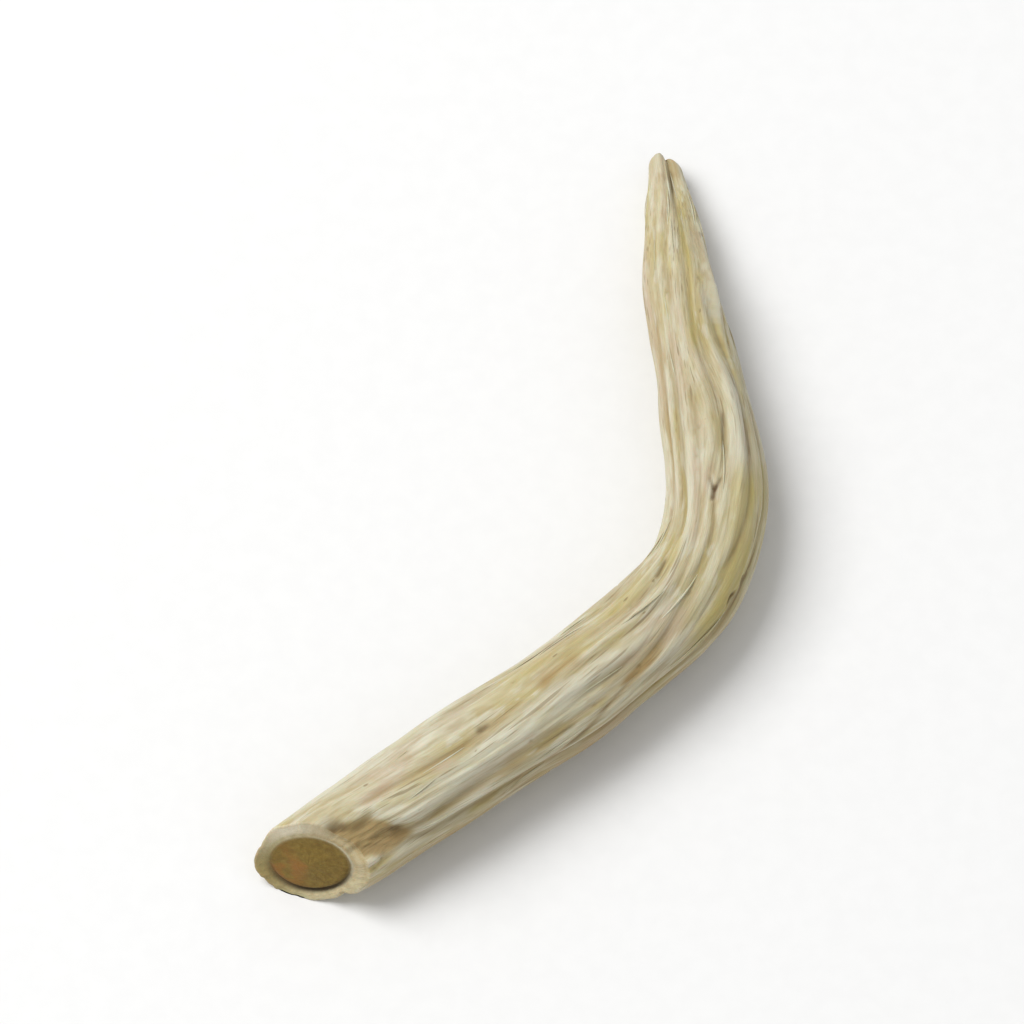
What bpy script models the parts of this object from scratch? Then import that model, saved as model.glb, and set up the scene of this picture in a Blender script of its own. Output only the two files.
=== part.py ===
"""A dried, peeled shatavari root: hook-shaped, cut across at its thick end and snapped at its tip.

The root is one solid. Rings of points are carried along a smooth centreline and joined into a skin. The
cut face is closed by rings that carry the relief of the woody core, and the tip closes to a point.

Lengths are in metres. The root lies on the XY plane, with +Z up. The distance along the root runs from
the cut end to the tip. The angle round it is 0 at the top, 90 degrees on the inner side of the bend and
-90 degrees on the outer side.
"""
import bpy
import numpy as np

MM = 0.001
NAME = "shatavari_root"

# Stations from the cut end to the tip: x and y from a point by the cut end, the height of the
# root's middle above the surface it lies on, half its width and half its height.
STATIONS = MM * np.array((
    (0.5, -0.15, 2.14, 2.40, 2.36),
    (5.2, 3.02, 2.59, 2.79, 2.62),
    (10.22, 6.77, 2.68, 2.82, 2.56),
    (14.93, 10.41, 2.78, 2.77, 2.56),
    (18.6, 14.12, 2.58, 2.80, 2.60),
    (20.3, 18.4, 2.36, 2.76, 2.56),
    (20.45, 23.3, 2.52, 2.60, 2.46),
    (19.7, 28.3, 2.44, 2.18, 2.20),
    (18.8, 33.4, 1.78, 1.78, 1.78),
    (18.45, 38.2, 1.05, 1.16, 1.18),
    (18.1, 41.05, 0.76, 0.74, 0.76),
))
BOX_MIDDLE = MM * np.array((10.497, 19.832, 0.0))

# Ridges and furrows that run along the root: a path of distances along it (mm) and angles round it
# (degrees), the half width and the height (mm) where the root is thickest. A furrow's height is negative.
FOLDS = {
    "inner furrow": (((12, 52), (20, 48), (28, 54), (33, 62), (38, 60), (43, 56)), 0.36, -0.26),
    "middle furrow": (
        (
            (-4, 6), (4, 0), (9, -6), (15, 4), (21, 16), (25, 24),
            (29, 34), (33, 44), (38, 34), (43, 20), (49, 12),
        ),
        0.36, -0.27,
    ),
    "outer furrow": (
        (
            (3, -52), (9, -50), (15, -48), (19.5, -41), (22, -24), (25, -11), (29, -5),
            (32, -13), (35, -9), (38, 0), (42, -15), (47, -22), (51, -26),
        ),
        0.42, -0.32,
    ),
    "lower furrow": (
        ((2, -74), (6, -70), (10, -80), (15, -87), (20, -84), (29, -72), (38, -80), (45, -98)), 0.36, -0.36,
    ),
    "under outer furrow": (((-4, -118), (10, -128), (22, -120), (34, -134), (46, -140)), 0.46, -0.46),
    "under furrow": (((2, -168), (14, -178), (28, -165), (40, -182), (54, -175)), 0.38, -0.38),
    "under inner furrow": (((-4, 138), (9, 128), (21, 136), (33, 128), (44, 140)), 0.42, -0.44),
    "side furrow": (((-4, 84), (12, 90), (23, 80), (35, 96), (48, 88)), 0.38, -0.38),
    "brow ridge": (((-4, 62), (12, 58), (26, 66)), 0.46, 0.16),
    "lobe ridge": (((2, -28), (9, -28), (15, -22), (20, -12)), 0.60, 0.18),
    "shoulder ridge": (((27, -24), (31, -27), (34, -26), (38, -20)), 0.42, 0.26),
    "wing ridge": (((36, 82), (42, 78), (50, 70)), 0.50, 0.26),
    "lip ridge": (((38, -56), (42, -52), (46, -56), (52, -44)), 0.30, 0.38),
    "tip notch": (((45.5, -8), (48.5, -14), (55, -24)), 0.30, -0.95),
}
FOLD_FADE = 3.5 * MM

# Fine ribs all round: how many, their height, and how far and how slowly they wander round the root.
RIB_COUNT = 13
RIB_HEIGHT = 0.055 * MM
RIB_WANDER = 1.6
RIB_WAVE = 23.0 * MM

# Slow swellings of the outline: height, length of one wave, turns round the root, phase in radians.
SWELLS = (
    (0.11 * MM, 13.0 * MM, 1, 0.6),
    (0.09 * MM, 21.0 * MM, 2, 2.1),
    (0.08 * MM, 7.5 * MM, 3, 4.0),
)

# The knife cut leans, so that the inner side is the longer one.
CUT_LEAN = 2.1 * MM
CUT_LEAN_ANGLE = np.radians(-52)
CUT_LEAN_REACH = 9.0 * MM

# The hollow that opens the rim of the cut: distance, angle, how far the angle turns in each metre along
# the root, half length, half width, depth, and how steep its walls are.
HOLLOW_AT = 1.95 * MM
HOLLOW_ANGLE = np.radians(-30)
HOLLOW_TURN = np.radians(-9) / MM
HOLLOW_LENGTH = 2.55 * MM
HOLLOW_WIDTH = 1.30 * MM
HOLLOW_DEPTH = 0.68 * MM
HOLLOW_STEEP = 2

# Relief of the cut face, as shares of its radius: the groove round the core, and the domed core, which
# lies a little below the middle.
CORE_SHARE = 0.73
CORE_DROP = 0.20 * MM
CORE_DROP_ANGLE = np.radians(-175)
GROOVE_WIDTH = 0.09
GROOVE_DEPTH = 0.16 * MM
FACE_DISH = 0.22 * MM
CORE_DOME = 0.20 * MM

# The snapped tip: where it starts to round off, and how far it leans.
TIP_ROUNDING = 1.1 * MM
TIP_LEAN = 0.80 * MM
TIP_LEAN_ANGLE = np.radians(52)
TIP_LEAN_REACH = 6.0 * MM

RINGS_ALONG = 72
POINTS_ROUND = 64
CUT_RINGS = 7
TIP_RINGS = 5

COLOUR = (0.62, 0.53, 0.35, 1.0)
ROUGHNESS = 0.72


def spline(knots, values, at):
    """Natural cubic spline through the rows of values at the knots, read at the places in at."""
    gap = np.diff(knots)
    slope = np.diff(values, axis=0) / gap[:, None]
    system = np.eye(len(knots))
    bend = np.zeros_like(values)
    for i in range(1, len(knots) - 1):
        system[i, i - 1:i + 2] = gap[i - 1], 2 * (gap[i - 1] + gap[i]), gap[i]
        bend[i] = 6 * (slope[i] - slope[i - 1])
    bend = np.linalg.solve(system, bend)
    span = np.clip(np.searchsorted(knots, at) - 1, 0, len(gap) - 1)
    width = gap[span][..., None]
    low = at[..., None] - knots[span][..., None]
    high = width - low
    return (
        bend[span] * high ** 3 / (6 * width) + bend[span + 1] * low ** 3 / (6 * width)
        + (values[span] / width - bend[span] * width / 6) * high
        + (values[span + 1] / width - bend[span + 1] * width / 6) * low
    )


def smooth_step(share):
    """Rises smoothly from 0 to 1 as share goes from 0 to 1."""
    share = np.clip(share, 0, 1)
    return share * share * (3 - 2 * share)


def turn_between(angle, other):
    """Angle minus other, brought between -pi and pi."""
    return (angle - other + np.pi) % (2 * np.pi) - np.pi


STATION_AT = np.concatenate(((0.0,), np.cumsum(np.linalg.norm(np.diff(STATIONS[:, :3], axis=0), axis=1))))
LENGTH = STATION_AT[-1]
THICKEST = STATIONS[:, 3].max()


def fold_relief(distance, angle, radius):
    """Height of all the folds, each 1 / (1 + x^2) across, faded in and out along the root."""
    relief = np.zeros(np.broadcast(distance, angle).shape)
    for path, half_width, height in FOLDS.values():
        path = np.array(path, float)
        middle = np.radians(spline(path[:, 0] * MM, path[:, 1:], distance)[..., 0])
        across = turn_between(angle, middle) * radius / (half_width * MM)
        start = smooth_step((distance - path[0, 0] * MM) / FOLD_FADE)
        end = smooth_step((path[-1, 0] * MM - distance) / FOLD_FADE)
        relief += height * MM * start * end / (1 + across ** 2)
    return relief


def rib_relief(distance, angle):
    """Height of the fine ribs, cos(n a) round the root with a slowly wandering phase."""
    wander = RIB_WANDER * np.sin(2 * np.pi * distance / RIB_WAVE)
    strength = 0.65 + 0.35 * np.sin(3 * angle + 4 * np.pi * distance / RIB_WAVE)
    return RIB_HEIGHT * strength * np.cos(RIB_COUNT * angle + wander)


def swell_relief(distance, angle):
    """Height of the slow swellings, each a wave along the root times a wave round it."""
    relief = np.zeros(np.broadcast(distance, angle).shape)
    for height, wave, turns, phase in SWELLS:
        relief += height * np.sin(2 * np.pi * distance / wave + phase) * np.cos(turns * angle + 2 * phase)
    return relief


def hollow_relief(distance, angle, radius):
    """Depth of the hollow at the cut, exp(-q^n) of the squared share q of the way out."""
    along = distance - HOLLOW_AT
    across = turn_between(angle, HOLLOW_ANGLE + HOLLOW_TURN * along) * radius
    share = (along / HOLLOW_LENGTH) ** 2 + (across / HOLLOW_WIDTH) ** 2
    return -HOLLOW_DEPTH * np.exp(-share ** HOLLOW_STEEP)


def skin_points(distance, angle):
    """Points of the skin at the given distances along the root and angles round it."""
    step = 0.05 * MM
    row = spline(STATION_AT, STATIONS, distance)
    ahead = spline(STATION_AT, STATIONS, distance + step)[..., :3] - row[..., :3]
    ahead /= np.linalg.norm(ahead, axis=-1, keepdims=True)
    inner = np.cross((0.0, 0.0, 1.0), ahead)
    inner /= np.linalg.norm(inner, axis=-1, keepdims=True)
    up = np.cross(ahead, inner)
    radius = (row[..., 3] + row[..., 4]) / 2
    relief = fold_relief(distance, angle, radius) + rib_relief(distance, angle)
    relief += swell_relief(distance, angle)
    relief *= radius / THICKEST
    relief += hollow_relief(distance, angle, radius)
    grow = 1 + relief / radius
    across = inner * (row[..., 3] * np.sin(angle) * grow)[..., None]
    above = up * (row[..., 4] * np.cos(angle) * grow)[..., None]
    return row[..., :3] + across + above


def leaning(distance, angle):
    """Distances shifted near both ends, so that the cut and the tip lean."""
    near_cut = np.clip(1 - distance / CUT_LEAN_REACH, 0, 1)
    near_tip = np.clip(1 - (LENGTH - distance) / TIP_LEAN_REACH, 0, 1)
    cut = CUT_LEAN * np.cos(angle - CUT_LEAN_ANGLE) * near_cut ** 2
    tip = TIP_LEAN * np.cos(angle - TIP_LEAN_ANGLE) * near_tip ** 2
    return distance + cut + tip


def skin_rings(angle):
    """Rings of the skin from the cut end to where the tip starts to round off."""
    distance = np.linspace(0, LENGTH - TIP_ROUNDING, RINGS_ALONG)[:, None]
    return skin_points(leaning(distance, angle), np.broadcast_to(angle, (RINGS_ALONG, POINTS_ROUND)))


def tip_rings(last, previous):
    """Shrinking rings past the last ring of the skin, on a quarter ellipse, then the point that closes it."""
    middle = last.mean(axis=0)
    ahead = middle - previous.mean(axis=0)
    ahead *= TIP_ROUNDING / np.linalg.norm(ahead)
    turn = np.linspace(0, np.pi / 2, TIP_RINGS + 2)[1:, None, None]
    rings = middle + (last - middle) * np.cos(turn) + ahead * np.sin(turn)
    return rings[:-1], rings[-1, :1]


def nearest_ellipse(spokes):
    """The ellipse nearest to a closed loop of spokes: its first wave alone."""
    waves = np.fft.fft(spokes, axis=0)
    waves[2:-1] = 0
    return np.fft.ifft(waves, axis=0).real


def cut_rings(rim, angle):
    """Rings of the cut face from the rim inwards, then its middle, sunk or raised along its normal."""
    middle = rim.mean(axis=0)
    spokes = rim - middle
    inwards = np.cross(spokes, np.roll(spokes, -1, axis=0)).sum(axis=0)
    inwards /= np.linalg.norm(inwards)
    share = np.linspace(1, 0, CUT_RINGS + 2)[1:, None, None]
    sunk = FACE_DISH * (1 - share ** 4)
    sunk = sunk + GROOVE_DEPTH * np.exp(-((share - CORE_SHARE) / GROOVE_WIDTH) ** 2)
    sunk = sunk - CORE_DOME * smooth_step(1 - share / CORE_SHARE)
    uneven = smooth_step((share - CORE_SHARE) / (1 - CORE_SHARE))
    outline = uneven * spokes + (1 - uneven) * nearest_ellipse(spokes)
    lower = spokes[np.abs(turn_between(angle, CORE_DROP_ANGLE)).argmin()]
    drop = lower / np.linalg.norm(lower) * CORE_DROP * smooth_step((1 - share) / (1 - CORE_SHARE))
    rings = middle + drop + outline * share + inwards * sunk
    return rings[:-1], rings[-1, :1]


def strip(first, second, count):
    """Quads between two rings whose points start at first and second."""
    here = np.arange(count)
    there = (here + 1) % count
    return np.stack((first + here, first + there, second + there, second + here), axis=1).tolist()


def fan(ring, point, count, flipped):
    """Triangles between a ring and the single point that closes it."""
    here = np.arange(count)
    there = (here + 1) % count
    sides = (there, here) if flipped else (here, there)
    return np.stack((ring + sides[0], ring + sides[1], np.full(count, point)), axis=1).tolist()


def root_mesh():
    """The closed skin: the cut face's rings, the skin's rings and the tip's rings, joined in one run."""
    angle = -np.linspace(0, 2 * np.pi, POINTS_ROUND, endpoint=False)
    skin = skin_rings(angle)
    face, face_middle = cut_rings(skin[0], angle)
    tip, tip_point = tip_rings(skin[-1], skin[-2])
    rings = np.concatenate((face[::-1], skin, tip))
    points = np.concatenate((rings.reshape(-1, 3), face_middle, tip_point)) - BOX_MIDDLE
    points[:, 2] = np.maximum(points[:, 2], 0)
    last = (len(rings) - 1) * POINTS_ROUND
    faces = []
    for first in range(0, last, POINTS_ROUND):
        faces += strip(first, first + POINTS_ROUND, POINTS_ROUND)
    faces += fan(0, len(points) - 2, POINTS_ROUND, flipped=True)
    faces += fan(last, len(points) - 1, POINTS_ROUND, flipped=False)
    mesh = bpy.data.meshes.new(NAME)
    mesh.from_pydata(points.tolist(), [], faces)
    mesh.shade_smooth()
    return mesh


def root_material():
    """Pale, dry, matt root flesh."""
    material = bpy.data.materials.new("peeled_root")
    material.use_nodes = True
    shader = material.node_tree.nodes["Principled BSDF"]
    shader.inputs["Base Color"].default_value = COLOUR
    shader.inputs["Roughness"].default_value = ROUGHNESS
    shader.inputs["Metallic"].default_value = 0.0
    return material


def main():
    """Clears the scene and builds the root in its own collection."""
    for old in list(bpy.data.objects):
        bpy.data.objects.remove(old)
    collection = bpy.data.collections.new("shatavari root")
    bpy.context.scene.collection.children.link(collection)
    root = bpy.data.objects.new(NAME, root_mesh())
    root.data.materials.append(root_material())
    collection.objects.link(root)


main()
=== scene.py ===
"""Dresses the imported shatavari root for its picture.

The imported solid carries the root's outline, its main furrows and its cut. A finer skin stands for it here:
the same centreline, folds, hollow and cut, worked out on a closer grid, with the small furrows, fibres,
pits and torn edges that a dried root shows, and a finish that follows its grain.

Lengths are in metres and angles in radians, unless a docstring says millimetres or degrees. Distance runs
along the root from the cut end to the tip. The angle round it is 0 at the top, positive towards the inner
side of the bend and negative towards the outer side.
"""
import logging
from dataclasses import dataclass, field
from enum import Enum

import bpy
import numpy as np
from mathutils import Matrix, Vector


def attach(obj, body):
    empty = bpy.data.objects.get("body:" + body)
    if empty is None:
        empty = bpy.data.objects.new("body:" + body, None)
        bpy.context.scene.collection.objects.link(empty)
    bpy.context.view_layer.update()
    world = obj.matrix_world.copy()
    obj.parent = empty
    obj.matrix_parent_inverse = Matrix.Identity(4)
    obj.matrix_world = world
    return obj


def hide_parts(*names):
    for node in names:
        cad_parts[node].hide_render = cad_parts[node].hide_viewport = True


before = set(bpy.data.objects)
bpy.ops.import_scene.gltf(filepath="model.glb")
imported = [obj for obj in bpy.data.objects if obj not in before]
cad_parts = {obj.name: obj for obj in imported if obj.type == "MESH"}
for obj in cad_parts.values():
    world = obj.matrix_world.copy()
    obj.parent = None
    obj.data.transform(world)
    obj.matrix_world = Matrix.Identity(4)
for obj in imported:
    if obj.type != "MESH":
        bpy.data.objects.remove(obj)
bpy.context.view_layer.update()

MM = 0.001
TURN = 2 * np.pi

Array = np.ndarray
Pair = tuple[float, float]
Triple = tuple[float, float, float]
Path = tuple[Pair, ...]
Colour = Triple
Socket = bpy.types.NodeSocket
Piece = bpy.types.Object

log = logging.getLogger("shatavari_root")


def spline(knots: Array, values: Array, at: Array) -> Array:
    """Natural cubic spline through the rows of values at the knots.

    Args:
        knots: places of the rows, rising.
        values: one row for each knot.
        at: places to read, of any shape.

    Returns:
        The rows read at each place, in one more dimension than at has.
    """
    gap = np.diff(knots)
    slope = np.diff(values, axis=0) / gap[:, None]
    system = np.eye(len(knots))
    bend = np.zeros_like(values)
    for i in range(1, len(knots) - 1):
        system[i, i - 1:i + 2] = gap[i - 1], 2 * (gap[i - 1] + gap[i]), gap[i]
        bend[i] = 6 * (slope[i] - slope[i - 1])
    bend = np.linalg.solve(system, bend)
    span = np.clip(np.searchsorted(knots, at) - 1, 0, len(gap) - 1)
    width = gap[span][..., None]
    low = at[..., None] - knots[span][..., None]
    high = width - low
    return (
        bend[span] * high ** 3 / (6 * width) + bend[span + 1] * low ** 3 / (6 * width)
        + (values[span] / width - bend[span] * width / 6) * high
        + (values[span + 1] / width - bend[span + 1] * width / 6) * low
    )


def smooth_step(share: Array) -> Array:
    """Rises smoothly from 0 to 1 as share goes from 0 to 1: 3 x^2 - 2 x^3."""
    share = np.clip(share, 0, 1)
    return share * share * (3 - 2 * share)


def turn_between(angle: Array, other: Array) -> Array:
    """Angle minus other, brought between -pi and pi."""
    return (angle - other + np.pi) % TURN - np.pi


@dataclass(frozen=True)
class Streaks:
    """Random streaks that run along the root and close round it.

    Random heights stand on a lattice of rows along and columns round the root. Each column is shifted by
    its own share of a row, so that streaks start and end out of step. Heights are joined by smooth steps.

    Fields:
        rows: number of rows along.
        columns: number of columns round.
        seed: start of the random draws.
    """

    rows: int
    columns: int
    seed: int

    def heights(self, along: "Array | float", angle: Array) -> Array:
        """Heights between -1 and 1.

        Args:
            along: share of the root's length, 0 to 1.
            angle: angle round the root.

        Returns:
            A height for each place.
        """
        draw = np.random.default_rng(self.seed)
        heights = draw.uniform(-1, 1, (self.rows + 3, self.columns))
        shift = draw.uniform(0, 1, self.columns)
        spot = (angle / TURN) % 1.0 * self.columns
        column = np.floor(spot).astype(int) % self.columns
        blend = smooth_step(spot - np.floor(spot))

        def read(which: Array) -> Array:
            """Height of the streak in one column, with a smooth step between its rows."""
            place = np.clip(along, 0, 1) * self.rows + shift[which]
            row = np.floor(place).astype(int)
            share = smooth_step(place - row)
            return heights[row, which] * (1 - share) + heights[row + 1, which] * share

        return read(column) * (1 - blend) + read((column + 1) % self.columns) * blend


class Stain(Enum):
    """Kinds of coloured mark on the peeled flesh, by the name of the attribute that carries each. The pale
    kind is partly painted highlight, and the tan kind holds one band of painted shade on the lower side.
    """

    TAN = "stain_tawny_and_shade"
    OLIVE = "stain_olive"
    BROWN = "stain_brown"
    BLUSH = "stain_blush"
    PALE_AND_HIGHLIGHT = "stain_pale_and_highlight"


@dataclass(frozen=True)
class Band:
    """A line along the root that folds and stains follow.

    Fields:
        path: pairs of distance (mm) and angle (degrees).
        half_width: half width in mm, where the root is thickest.
        fade: distance in mm over which it starts and ends.
    """

    path: Path
    half_width: float
    fade: float = 3.5

    def middle(self, distance: Array) -> Array:
        """Angle of the line at each distance, by a cubic spline through the path."""
        path = np.array(self.path, float)
        return np.radians(spline(path[:, 0] * MM, path[:, 1:], distance)[..., 0])

    def across(self, distance: Array, angle: Array, radius: Array) -> Array:
        """How many half widths a point lies to the side of the line."""
        return turn_between(angle, self.middle(distance)) * radius / (self.half_width * MM)

    def presence(self, distance: Array) -> Array:
        """1 along the line, with a smooth step down to 0 at its two ends."""
        start = smooth_step((distance / MM - self.path[0][0]) / self.fade)
        end = smooth_step((self.path[-1][0] - distance / MM) / self.fade)
        return start * end


@dataclass(frozen=True)
class Fold(Band):
    """A ridge or furrow: height (mm) over 1 + x^2 across, and a sharper crease (mm) at a furrow's bottom."""

    height: float = 0.0
    crease: float = 0.0
    crease_share: float = 0.30

    def relief(self, distance: Array, angle: Array, radius: Array) -> Array:
        """Height of the fold: h / (1 + x^2), plus the crease, the same curve on a narrower width."""
        across = self.across(distance, angle, radius)
        shape = self.height / (1 + across ** 2) - self.crease / (1 + (across / self.crease_share) ** 2)
        return shape * MM * self.presence(distance)


@dataclass(frozen=True)
class Mark(Band):
    """A stain along a line, with a strength from 0 to 1."""

    strength: float = 1.0

    def cover(self, distance: Array, angle: Array, radius: Array) -> Array:
        """Strength of the stain, a bell across the line."""
        across = self.across(distance, angle, radius)
        return self.strength * np.exp(-across ** 2) * self.presence(distance)


@dataclass(frozen=True)
class Pit:
    """A small round hole in the skin: distance (mm), angle (degrees), radius (mm) and depth (mm)."""

    distance: float
    angle: float
    radius: float
    depth: float

    def bell(self, distance: Array, angle: Array, radius: Array) -> Array:
        """1 in the middle of the pit, falling as a bell of the distance from it."""
        along = distance / MM - self.distance
        across = turn_between(angle, np.radians(self.angle)) * radius / MM
        return np.exp(-(along ** 2 + across ** 2) / self.radius ** 2)


# The furrows that the grain follows come first.
FURROW_COUNT = 8
MAIN_FOLDS = (
    Fold(((12, 52), (20, 48), (28, 54), (33, 62), (38, 60), (43, 56)), 0.36, height=-0.20, crease=0.03),
    Fold(
        (
            (-4, 6), (4, 0), (9, -6), (15, 4), (21, 16), (25, 24),
            (29, 34), (33, 44), (38, 34), (43, 20), (49, 12),
        ),
        0.34, height=-0.17, crease=0.03,
    ),
    Fold(
        (
            (3, -52), (9, -50), (15, -48), (19.5, -41), (22, -24), (25, -11), (29, -5),
            (32, -13), (35, -9), (38, 0), (42, -15), (47, -22), (51, -26),
        ),
        0.40, height=-0.20, crease=0.03,
    ),
    Fold(
        ((2, -74), (6, -70), (10, -80), (15, -87), (20, -84), (29, -72), (38, -80), (45, -98)), 0.36,
        height=-0.28, crease=0.04,
    ),
    Fold(((-4, -118), (10, -128), (22, -120), (34, -134), (46, -140)), 0.46, height=-0.46, crease=0.12),
    Fold(((2, -168), (14, -178), (28, -165), (40, -182), (54, -175)), 0.38, height=-0.38, crease=0.12),
    Fold(((-4, 138), (9, 128), (21, 136), (33, 128), (44, 140)), 0.42, height=-0.44, crease=0.12),
    Fold(((-4, 84), (12, 90), (23, 80), (35, 96), (48, 88)), 0.38, height=-0.38, crease=0.10),
    Fold(((-4, 62), (12, 58), (26, 66)), 0.46, height=0.16),
    Fold(((2, -28), (9, -28), (15, -22), (20, -12)), 0.60, height=0.18),
    Fold(((27, -24), (31, -27), (34, -26), (38, -20)), 0.42, height=0.26),
    Fold(((36, 82), (42, 78), (50, 70)), 0.50, height=0.26),
    Fold(((38, -56), (42, -52), (46, -56), (52, -44)), 0.30, height=0.38),
    Fold(((45.5, -8), (48.5, -14), (55, -24)), 0.30, height=-0.95, crease=0.10),
)

# Lesser furrows that join or split the main ones, short cracks, and the scar on the upper limb.
CRACKS = (
    Fold(((8.5, -80), (14, -73), (17, -58), (20.5, -41)), 0.20, fade=2.5, height=-0.08, crease=0.02),
    Fold(((8, -36), (14, -36), (19, -30), (22, -20)), 0.13, fade=2.0, height=-0.07),
    Fold(((15, -8), (19, -4), (23, -2), (27, 8), (31, 16), (36, 16)), 0.16, fade=3.0, height=-0.08),
    Fold(((4, 20), (10, 15), (17, 20), (23, 34)), 0.14, fade=3.0, height=-0.06),
    Fold(((1, 40), (8, 34), (15, 33), (22, 38), (27, 42)), 0.15, fade=3.0, height=-0.07),
    Fold(((24, -34), (29, -42), (34, -44), (40, -34)), 0.16, fade=2.0, height=-0.12),
    Fold(((34, 26), (39, 24), (44, 8)), 0.14, fade=2.0, height=-0.08),
    Fold(((39, 44), (44, 40), (49, 36)), 0.14, fade=2.0, height=-0.08),
    Fold(((28.3, -1), (29.4, -2.5)), 0.10, fade=0.3, height=-0.12),
    Fold(((28.9, -2), (29.9, 5)), 0.08, fade=0.3, height=-0.09),
    Fold(((28.9, -2), (29.9, -9)), 0.08, fade=0.3, height=-0.09),
    Fold(((30.9, -12), (33.7, -16)), 0.12, fade=0.8, height=-0.14),
    Fold(((25.4, -13), (27.2, -7), (28.7, -2)), 0.10, fade=0.6, height=-0.08),
    Fold(((22.5, 22), (24.4, 28)), 0.11, fade=0.6, height=-0.13),
    Fold(((25.6, 25), (27.8, 30), (31.0, 44)), 0.10, fade=0.8, height=-0.08),
    Fold(((11.6, -53), (15.0, -56)), 0.09, fade=0.8, height=-0.12),
)

PITS = (
    Pit(10.4, -1.5, 0.17, 0.20),
    Pit(24.4, -67.5, 0.26, 0.26),
    Pit(25.5, -72, 0.20, 0.20),
    Pit(4.3, -45, 0.40, 0.26),
    Pit(1.7, -1, 0.32, 0.20),
    Pit(13.4, 28, 0.10, 0.10),
    Pit(20.6, 20, 0.10, 0.10),
    Pit(18.9, -45, 0.12, 0.10),
)

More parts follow.
